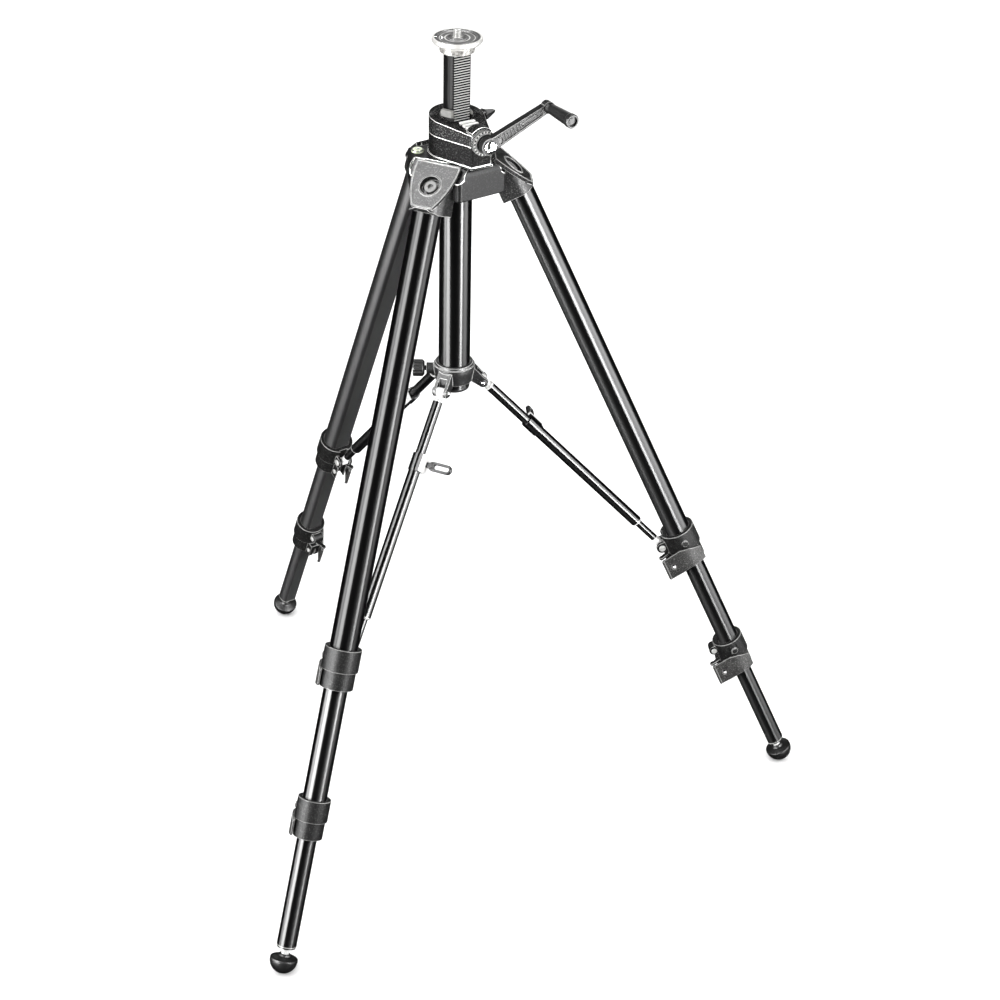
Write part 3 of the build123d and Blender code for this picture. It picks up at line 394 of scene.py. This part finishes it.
# below z 1.050 the flange is painted darker in random blotches: painted shade on the lower flange
neck = mask_below((0, 0, 1), (0, 0, 0), 1.0500, 0.0003)(pm)
shade_blotch = pm.ramp(pm.noise(330.0, 3.0, 0.6), 0.42, 0.58)
pcol = pm.mix(neck, pcol, pm.mix(shade_blotch, (0.16, 0.155, 0.145), (0.44, 0.43, 0.41)))
pm.link(pm.mix(pm.math("MULTIPLY", dark, 0.95), pcol, (0.012, 0.012, 0.012)), pm.b.inputs["Base Color"])
pm.link(pm.mixf(dark, 0.28, 0.5), pm.b.inputs["Roughness"])
pm.link(pm.mixf(dark, 0.12, 0.0), pm.b.inputs["Metallic"])
pb = pm.bump(pm.math("ADD", pm.math("MULTIPLY", wave, 0.5), fine), 0.15, 0.00012)
pm.link(pb.outputs[0], pm.b.inputs["Normal"])
M["plate"] = pm.m
M["steel"] = plastic("steel_plated", (0.34, 0.34, 0.33), 0.34, 1200.0, 0.1, spec=0.25)
M["bolt"] = plastic("bolt_plated", (0.16, 0.16, 0.157), 0.34, 1200.0, 0.1, spec=0.05)
M["bolt_black"] = plastic("bolt_black", (0.02, 0.02, 0.02), 0.4, 1200.0, 0.1, spec=0.06)
M["chrome"] = metal("chrome", (0.85, 0.85, 0.85), 0.12, 300.0)
M["gear_brass"] = metal("gear_brass", (0.72, 0.55, 0.25), 0.3, 1000.0)
er = Vector((cos(radians(CRANK_AZ)), sin(radians(CRANK_AZ)), 0))
M["column"] = tube("column_black", (0, 0, 1), gloss=0.34, base=(0.007, 0.007, 0.0071), spec=0.018,
                   masks=[(mask_above(er, (0, 0, 0), 0.0119, 0.0003), (0.62, 0.62, 0.60), 0.45, 0.0)])
M["sleeve"] = tube("sleeve_black", (0, 0, 1))

bub = Mat("bubble")
bub.b.inputs["Base Color"].default_value = (0.62, 0.78, 0.42, 1)
bub.b.inputs["Roughness"].default_value = 0.06
bub.b.inputs["Transmission Weight"].default_value = 0.12
bub.b.inputs["IOR"].default_value = 1.45
c2 = bub.mix(bub.ramp(bub.noise(220.0), 0.4, 0.6), (0.80, 0.86, 0.66), (0.66, 0.76, 0.50))
bub.link(c2, bub.b.inputs["Base Color"])
M["bubble"] = bub.m

# tension dial: pale divisions round its front face
dm = Mat("dial_divided")
du = dm.dot(dm.coord, (-ey, ex, 0))
dv = dm.math("SUBTRACT", dm.dot(dm.coord, (0, 0, 1)), CRANK_Z)
dd = dm.math("SQRT", dm.math("ADD", dm.math("MULTIPLY", du, du), dm.math("MULTIPLY", dv, dv)))
turn = dm.math("SINE", dm.math("MULTIPLY", dm.math("ARCTAN2", dv, du), 20.0))
div = dm.math("MULTIPLY", dm.ramp(turn, 0.1, 0.3), dm.math("MULTIPLY", dm.ramp(dd, 0.0126, 0.0128), dm.ramp(dd, 0.0150, 0.0148)))
div = dm.math("MULTIPLY", div, dm.ramp(dm.dot(dm.coord, (ex, ey, 0)), 0.0643, 0.0645))
dcol = dm.mix(dm.ramp(dm.noise(55.0), 0.3, 0.75), (0.006, 0.006, 0.006), (0.009, 0.009, 0.009))
dm.link(dm.mix(div, dcol, (0.60, 0.60, 0.58)), dm.b.inputs["Base Color"])
dm.link(dm.mixf(dm.noise(70.0), 0.38, 0.5), dm.b.inputs["Roughness"])
dm.b.inputs["Specular IOR Level"].default_value = 0.08
M["dial"] = dm.m


def paint(node, mat):
    o = nodes[node]
    if not o.data.materials:
        o.data.materials.append(mat)
    for i in range(len(o.material_slots)):
        o.material_slots[i].material = mat


def soften(node, width, segments=2, angle=35.0, bevel_highlight_mat=None):
    """Rounded edges, whose bevel faces take a painted edge highlight material when one is given: the loaded mesh is
    split along its hard edges, so it is joined first.
    """
    o = nodes[node]
    w = o.modifiers.new("join", "WELD")
    w.merge_threshold = 0.00001
    b = o.modifiers.new("edge", "BEVEL")
    b.width = width
    b.segments = segments
    b.limit_method = "ANGLE"
    b.angle_limit = radians(angle)
    b.harden_normals = False
    b.miter_outer = "MITER_ARC"
    b.use_clamp_overlap = False
    if bevel_highlight_mat is not None:
        o.data.materials.append(bevel_highlight_mat)
        b.material = len(o.material_slots) - 1
    n = o.modifiers.new("normals", "WEIGHTED_NORMAL")
    n.keep_sharp = False
    n.weight = 60


for n in ("spreader_hub", "sleeve_end_cap"):
    paint(n, M["casting_smooth"])
paint("spider", M["spider"])
paint("housing_base", M["housing"])
paint("housing_cover", M["cover"])
paint("crank_arm", M["arm"])
paint("sleeve_tube", M["sleeve"])
paint("geared_column", M["column"])
paint("head_plate", M["plate"])
paint("head_stud", M["steel"])
paint("pivot_pins", M["steel"])
paint("housing_screws", M["bolt_black"])
paint("crank_shaft", M["steel"])
paint("drive_gear", M["gear_brass"])
paint("column_bush", M["bush"])
paint("spirit_level", M["bubble"])
paint("crank_cap", M["chrome"])
paint("tension_dial", M["dial"])
for n in ("crank_grip", "column_lock", "hub_knob"):
    paint(n, M["knob"])
for tag, az in LEGS.items():
    o, X, Y, Z = leg_axes(az)
    # the back leg's tubes get a lighter base than the other legs: painted light on the same black tube
    grey = (0.011, 0.011, 0.0112) if tag == "back" else (0.0018, 0.0018, 0.0019)
    t = tube("tube_" + tag, Z, base=grey)
    tu = tube("upper_tube_" + tag, Z, base=grey, spec=0.065) if tag == "front" else t
    stem = tube("low_tube_" + tag, Z, base=grey, masks=[(both(mask_above(Z, o, 0.0020, 0.0002), mask_below(Z, o, 0.0032, 0.0002)), (0.30, 0.30, 0.29), 0.35, 0.0),
                         (mask_below(Z, o, -0.0001, 0.0001), SILVER, 0.22, 0.0)])
    so, sx, sy, sz = strut_axes(az)
    st = tube("strut_" + tag, sz, gloss=0.20,
              masks=[(mask_above(-sy, so, 0.0078), SILVER, 0.25, 0.0),
                     (mask_above(sz, so, 0.333), SILVER, 0.3, 0.0)])
    si = tube("strut_in_" + tag, sz, gloss=0.20,
              masks=[(mask_below(sz, so, 0.0135), SILVER, 0.25, 0.0)])
    paint(tag + "_leg_upper_tube", tu)
    paint(tag + "_leg_mid_tube", t)
    paint(tag + "_leg_low_tube", stem)
    paint(tag + "_strut_outer", st)
    paint(tag + "_strut_inner", si)
    paint(tag + "_strut_lever", M["knob"])
    paint(tag + "_leg_top_casting", M["casting"])
    paint(tag + "_leg_top_bolt", M["bolt"])
    paint(tag + "_leg_upper_collar", M["collar"])
    paint(tag + "_leg_lower_collar", M["collar"])
    paint(tag + "_leg_upper_lever", M["lever"])
    paint(tag + "_leg_lower_lever", M["lever"])
    paint(tag + "_leg_rubber_foot", M["rubber"])


EDGE = {"spider": 0.0006, "housing_base": 0.0003, "housing_cover": 0.0003, "spreader_hub": 0.00045, "crank_arm": 0.0006,
        "tension_dial": 0.0003, "column_lock": 0.0006, "hub_knob": 0.0004, "column_bush": 0.0003, "head_plate": 0.0002,
        "crank_cap": 0.0003, "housing_screws": 0.0002, "sleeve_end_cap": 0.0004}
# which parts' bevel faces carry a painted edge highlight, and in which material
BEVEL_HIGHLIGHT = {"spider": "edge_bright", "housing_base": "edge_bright", "housing_cover": "edge_bright", "spreader_hub": "edge_mid",
        "crank_arm": "edge_dim", "tension_dial": "edge_mid"}
for n, w in EDGE.items():
    soften(n, w, bevel_highlight_mat=M[BEVEL_HIGHLIGHT[n]] if n in BEVEL_HIGHLIGHT else None)
for tag in LEGS:
    soften(tag + "_leg_top_casting", 0.0005, bevel_highlight_mat=M["edge_mid"])
    soften(tag + "_leg_top_bolt", 0.0003)
    for part in ("_leg_upper_collar", "_leg_lower_collar"):
        soften(tag + part, 0.0007, bevel_highlight_mat=M["edge_dim"])
    for part in ("_leg_upper_lever", "_leg_lower_lever"):
        soften(tag + part, 0.0006, bevel_highlight_mat=M["edge_dim"])
    soften(tag + "_strut_outer", 0.0004)
    soften(tag + "_strut_lever", 0.0012, 3)
    soften(tag + "_leg_rubber_foot", 0.0005)


# ------------------------------------------------------------------ mesh helpers for the visual pieces
def new_obj(name, bm, mat, body, smooth=35.0):
    me = bpy.data.meshes.new(name)
    bmesh.ops.recalc_face_normals(bm, faces=bm.faces[:])
    bm.to_mesh(me)
    bm.free()
    o = bpy.data.objects.new(name, me)
    bpy.context.scene.collection.objects.link(o)
    me.materials.append(mat)
    if smooth:
        for p in me.polygons:
            p.use_smooth = True
        me.set_sharp_from_angle(angle=radians(smooth))
    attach(o, body)
    return o


def lathe(name, profile, matrix, mat, body, seg=48, smooth=35.0):
    """profile: closed list of (r, z) in mm from the axis round back to the axis; turned round the matrix's z."""
    bm = bmesh.new()
    rings = []
    for r, z in profile:
        if r < 1e-6:
            rings.append([bm.verts.new(matrix @ Vector((0, 0, z * 0.001)))])
        else:
            rings.append([bm.verts.new(matrix @ Vector((r * 0.001 * cos(2 * pi * k / seg), r * 0.001 * sin(2 * pi * k / seg), z * 0.001)))
                          for k in range(seg)])
    n = len(rings)
    closed = not (len(rings[0]) == 1 and len(rings[-1]) == 1)
    for i in range(n if closed else n - 1):
        a, b = rings[i], rings[(i + 1) % n]
        for k in range(seg):
            k2 = (k + 1) % seg
            if len(a) == 1 and len(b) == 1:
                continue
            if len(a) == 1:
                bm.faces.new((a[0], b[k], b[k2]))
            elif len(b) == 1:
                bm.faces.new((a[k], a[k2], b[0]))
            else:
                bm.faces.new((a[k], a[k2], b[k2], b[k]))
    return new_obj(name, bm, mat, body, smooth)


def frame_at(p, z, x=None):
    """matrix at p (metres) whose z axis is z."""
    z = Vector(z).normalized()
    if x is None:
        x = Vector((1, 0, 0)) if abs(z.x) < 0.9 else Vector((0, 1, 0))
    x = Vector(x)
    x = (x - z * x.dot(z)).normalized()
    y = z.cross(x)
    return Matrix(((x.x, y.x, z.x, p[0]), (x.y, y.y, z.y, p[1]), (x.z, y.z, z.z, p[2]), (0, 0, 0, 1)))


def hex_head(name, matrix, r, h, mat, body, key=0.5, depth=0.5, kind="hex", base=0.0):
    """Round cap screw with a real socket or slot, built as one closed mesh. Sizes in mm; matrix z points out of the part."""
    bm = bmesh.new()
    seg = 48
    sides = 6 if kind == "hex" else 4
    kr = r * key
    S = 0.001

    def ring(rad, z):
        return [bm.verts.new(matrix @ Vector((rad * S * cos(2 * pi * k / seg), rad * S * sin(2 * pi * k / seg), z * S))) for k in range(seg)]

    def socket(z):
        out = []
        for k in range(seg):
            a = 2 * pi * k / seg
            if kind == "hex":
                t = (a % (pi / 3)) - pi / 6
                rad = kr * cos(pi / 6) / cos(t)
                out.append(bm.verts.new(matrix @ Vector((rad * S * cos(a), rad * S * sin(a), z * S))))
            else:
                hw, hl = r * 0.13, r * 0.82
                c, s_ = cos(a), sin(a)
                t = min(hl / max(abs(c), 1e-6), hw / max(abs(s_), 1e-6))
                out.append(bm.verts.new(matrix @ Vector((t * c * S, t * s_ * S, z * S))))
        return out
    rings = [ring(r, base), ring(r, h - 0.22 * r * 0.6), ring(r - 0.06 * r, h - 0.05 * r), ring(r - 0.16 * r, h), socket(h), socket(h - depth * h)]
    c0 = bm.verts.new(matrix @ Vector((0, 0, base * S)))
    c1 = bm.verts.new(matrix @ Vector((0, 0, (h - depth * h) * S)))
    for k in range(seg):
        k2 = (k + 1) % seg
        bm.faces.new((c0, rings[0][k2], rings[0][k]))
        for a, b in zip(rings, rings[1:]):
            bm.faces.new((a[k], a[k2], b[k2], b[k]))
        bm.faces.new((rings[-1][k], rings[-1][k2], c1))
    return new_obj(name, bm, mat, body, 30.0)


# ------------------------------------------------------------------ visual pieces the CAD part leaves out
bub_dark = plastic("level_ring", (0.03, 0.03, 0.028), 0.3, 900.0)
for tag, az in LEGS.items():
    o, X, Y, Z = leg_axes(az)
    upper, mid, low = tag + "_leg_upper", tag + "_leg_mid", tag + "_leg_low"
    for sgn, word in ((1, "a"), (-1, "b")):
        # strut ear on the upper collar
        p = o + X * LP_N + Z * LP_S + Y * (sgn * 0.010)
        hex_head(tag + "_ear_bolt_" + word, frame_at(p, Y * sgn, X), 4.3, 1.7, M["steel"], upper, kind="slot" if sgn < 0 else "hex", base=-0.1)
        # ear on the lower collar
        p = o + X * -0.0231 + Z * 0.183 + Y * (sgn * 0.0075)
        hex_head(tag + "_lower_ear_bolt_" + word, frame_at(p, Y * sgn, X), 3.6, 1.5, M["steel"], mid, key=0.5, base=-0.1)
        # clamp screws of both collars
        p = o + X * -0.0243 + Z * 0.3455 + Y * (sgn * 0.0075)
        hex_head(tag + "_upper_clamp_screw_" + word, frame_at(p, Y * sgn, X), 3.2, 1.5, M["steel"], upper, key=0.5, base=-0.1)
        p = o + X * -0.0222 + Z * 0.1545 + Y * (sgn * 0.0075)
        hex_head(tag + "_lower_clamp_screw_" + word, frame_at(p, Y * sgn, X), 3.0, 1.5, M["steel"], mid, key=0.5, base=-0.1)
    so, sx, sy, sz = strut_axes(az)
    # silver ring where the sleeve steps down to the rod, and a ring at the hub end
    lathe(tag + "_strut_step_ring", [(4.6, 296.7), (7.2, 296.7), (7.2, 298.3), (5.4, 299.7), (4.6, 299.7)],
          frame_at(so, sz, sx), M["steel"], tag + "_strut_outer", 40)
    lathe(tag + "_strut_neck_ring", [(5.2, 11.0), (6.0, 10.6), (6.35, 11.2), (6.35, 12.6), (5.2, 12.6)],
          frame_at(so, sz, sx), M["steel"], tag + "_strut_inner", 40)
    # rivet through the hub ear
    a = radians(az)
    tdir = Vector((-sin(a), cos(a), 0))
    for sgn, word in ((1, "a"), (-1, "b")):
        p = Vector((HUB_PIV[0] * cos(a), HUB_PIV[0] * sin(a), HUB_PIV[1])) + tdir * (sgn * 0.0108)
        lathe(tag + "_hub_rivet_" + word, [(0, -0.1), (2.0, -0.1), (2.0, 0.2), (1.4, 0.7), (0, 0.9)], frame_at(p, tdir * sgn), M["chrome"], "shoulder", 28)
        lathe(tag + "_hub_washer_" + word, [(2.3, -0.1), (4.5, -0.1), (4.5, 0.25), (4.1, 0.5), (2.3, 0.5)], frame_at(p, tdir * sgn), M["knob"], "shoulder", 36)

# plate screws by the rim
for k, rr in enumerate((25.5, 17.5)):
    a = radians(206)
    p = Vector((rr * 0.001 * cos(a), rr * 0.001 * sin(a), 1.0594))
    hex_head("plate_screw_" + str(k + 1), frame_at(p, (0, 0, 1), (cos(1.1), sin(1.1), 0)), 1.5, 0.9, M["chrome"], "column", kind="slot", base=-0.6)

# bubble of the spirit level
a = radians(207)
lp = Vector((0.046 * cos(a), 0.046 * sin(a), 0.918))
lathe("level_rim", [(6.0, 1.7), (7.4, 1.7), (7.4, 2.2), (6.9, 2.7), (6.0, 2.7)], frame_at(lp, (0, 0, 1)), bub_dark, "shoulder", 48)
lathe("level_bubble", [(0, 3.38), (2.1, 3.38), (2.3, 3.5), (1.6, 3.72), (0, 3.82)], frame_at(lp + Vector((0.0007, 0.0004, 0)), (0, 0, 1)), M["chrome"], "shoulder", 32)
lathe("level_mark", [(2.9, 3.36), (3.2, 3.36), (3.2, 3.46), (2.9, 3.46)], frame_at(lp, (0, 0, 1)), bub_dark, "shoulder", 40)

# threaded stud in place of the plain one: same outer radius, with the thread cut into it
def thread_stud():
    bm = bmesh.new()
    seg, pitch = 40, 1.5875
    z0, z1 = 1060.4 - 1.2, 1069.9
    zs = []
    rows = []
    steps = int((z1 - z0) / (pitch / 8.0))
    for i in range(steps + 1):
        z = z0 + (z1 - z0) * i / steps
        row = []
        for k in range(seg):
            ph = ((z - z0) / pitch - k / seg) % 1.0
            tri = abs(2 * ph - 1)
            r = 4.15 + 0.6125 * max(0.0, min(1.0, 1.25 * tri - 0.1))
            if z > z1 - 0.8:
                r = min(r, 4.7625 - (z - (z1 - 0.8)))
            if z < 1060.4:
                r = min(r, 4.2)
            row.append(bm.verts.new((r * 0.001 * cos(2 * pi * k / seg), r * 0.001 * sin(2 * pi * k / seg), z * 0.001)))
        rows.append(row)
    for a_, b_ in zip(rows, rows[1:]):
        for k in range(seg):
            k2 = (k + 1) % seg
            bm.faces.new((a_[k], a_[k2], b_[k2], b_[k]))
    bot = bm.verts.new((0, 0, z0 * 0.001))
    # top with a real slot
    sl = radians(25)
    cx, sx_ = cos(sl), sin(sl)
    hw, hl = 0.7, 3.3
    inner = []
    inner_low = []
    for k in range(seg):
        a_ = 2 * pi * k / seg - sl
        c, s_ = cos(a_), sin(a_)
        t = min(hl / max(abs(c), 1e-6), hw / max(abs(s_), 1e-6))
        x, y = t * c, t * s_
        X_, Y_ = x * cx - y * sx_, x * sx_ + y * cx
        inner.append(bm.verts.new((X_ * 0.001, Y_ * 0.001, z1 * 0.001)))
        inner_low.append(bm.verts.new((X_ * 0.001, Y_ * 0.001, (z1 - 1.6) * 0.001)))
    low = bm.verts.new((0, 0, (z1 - 1.6) * 0.001))
    for k in range(seg):
        k2 = (k + 1) % seg
        bm.faces.new((bot, rows[0][k2], rows[0][k]))
        bm.faces.new((rows[-1][k], rows[-1][k2], inner[k2], inner[k]))
        bm.faces.new((inner[k], inner[k2], inner_low[k2], inner_low[k]))
        bm.faces.new((inner_low[k], inner_low[k2], low))
    return new_obj("stud_thread", bm, M["steel"], "column", 25.0)


stud = thread_stud()
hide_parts("head_stud")

# ------------------------------------------------------------------ studio
floor_mesh = bpy.data.meshes.new("floor")
bm = bmesh.new()
bmesh.ops.create_grid(bm, x_segments=4, y_segments=4, size=14)
bm.to_mesh(floor_mesh)
bm.free()
floor = bpy.data.objects.new("floor", floor_mesh)
floor.location = (0, 0, -0.0004)
bpy.context.scene.collection.objects.link(floor)
fm = Mat("floor_white")
fc = fm.mix(fm.ramp(fm.noise(3.0), 0.3, 0.7), (0.93, 0.93, 0.93), (0.95, 0.95, 0.95))
fm.link(fc, fm.b.inputs["Base Color"])
fm.b.inputs["Roughness"].default_value = 0.7
fm.b.inputs["Specular IOR Level"].default_value = 0.15
floor_mesh.materials.append(fm.m)
floor.visible_glossy = False

world = bpy.data.worlds.new("studio")
world.use_nodes = True
world.node_tree.nodes["Background"].inputs["Color"].default_value = (1, 1, 1, 1)
world.node_tree.nodes["Background"].inputs["Strength"].default_value = 1.0
bpy.context.scene.world = world
world.cycles_visibility.glossy = False
bpy.context.scene.view_settings.view_transform = "Standard"


def area(name, loc, aim, size, size_y, power, upright=True):
    l = bpy.data.lights.new(name, "AREA")
    l.shape = "RECTANGLE"
    l.size, l.size_y = size, size_y
    l.energy = power
    o = bpy.data.objects.new(name, l)
    d = (Vector(aim) - Vector(loc)).normalized()
    o.matrix_world = frame_at(loc, -d, Vector((0, 0, 1)).cross(-d) if upright else None)
    o.visible_camera = False
    bpy.context.scene.collection.objects.link(o)
    return o


def around(name, az, dist, z, size, size_y, radiance, aim_z=None):
    """a softbox at an azimuth round the object, facing its axis; radiance sets its power"""
    a = radians(az)
    loc = (dist * cos(a), dist * sin(a), z)
    return area(name, loc, (0, 0, z if aim_z is None else aim_z), size, size_y, radiance * pi * size * size_y)


for box in (around("box_left", 250, 1.7, 0.98, 0.80, 1.9, 108), around("box_left_far", 224, 1.7, 0.98, 0.50, 1.9, 55),
            around("box_right", -18, 1.7, 1.35, 0.36, 2.6, 200), around("box_right_far", 14, 1.7, 1.2, 1.00, 2.3, 26)):
    box.visible_diffuse = False                  # they only draw the long highlights, the sky light does the rest
around("soft_left", 230, 1.9, 1.0, 0.50, 1.9, 3)
around("soft_right", 6, 1.9, 1.0, 0.60, 1.9, 3)
around("soft_back", 120, 2.4, 1.2, 1.2, 1.8, 2)
for box in (area("top_left", (-0.80, -0.60, 2.6), (0, -0.10, 0.88), 0.6, 0.6, 150 * pi * 0.36),
            area("top_right", (1.36, 0.31, 2.3), (0.05, -0.04, 0.88), 0.6, 0.6, 60 * pi * 0.36)):
    box.visible_diffuse = False
sun = bpy.data.lights.new("overhead", "SUN")
sun.energy = 1.7
sun.angle = radians(70)
sun_o = bpy.data.objects.new("overhead", sun)
sun_o.rotation_euler = (radians(14), radians(-10), 0)
bpy.context.scene.collection.objects.link(sun_o)
sun_o.visible_glossy = False
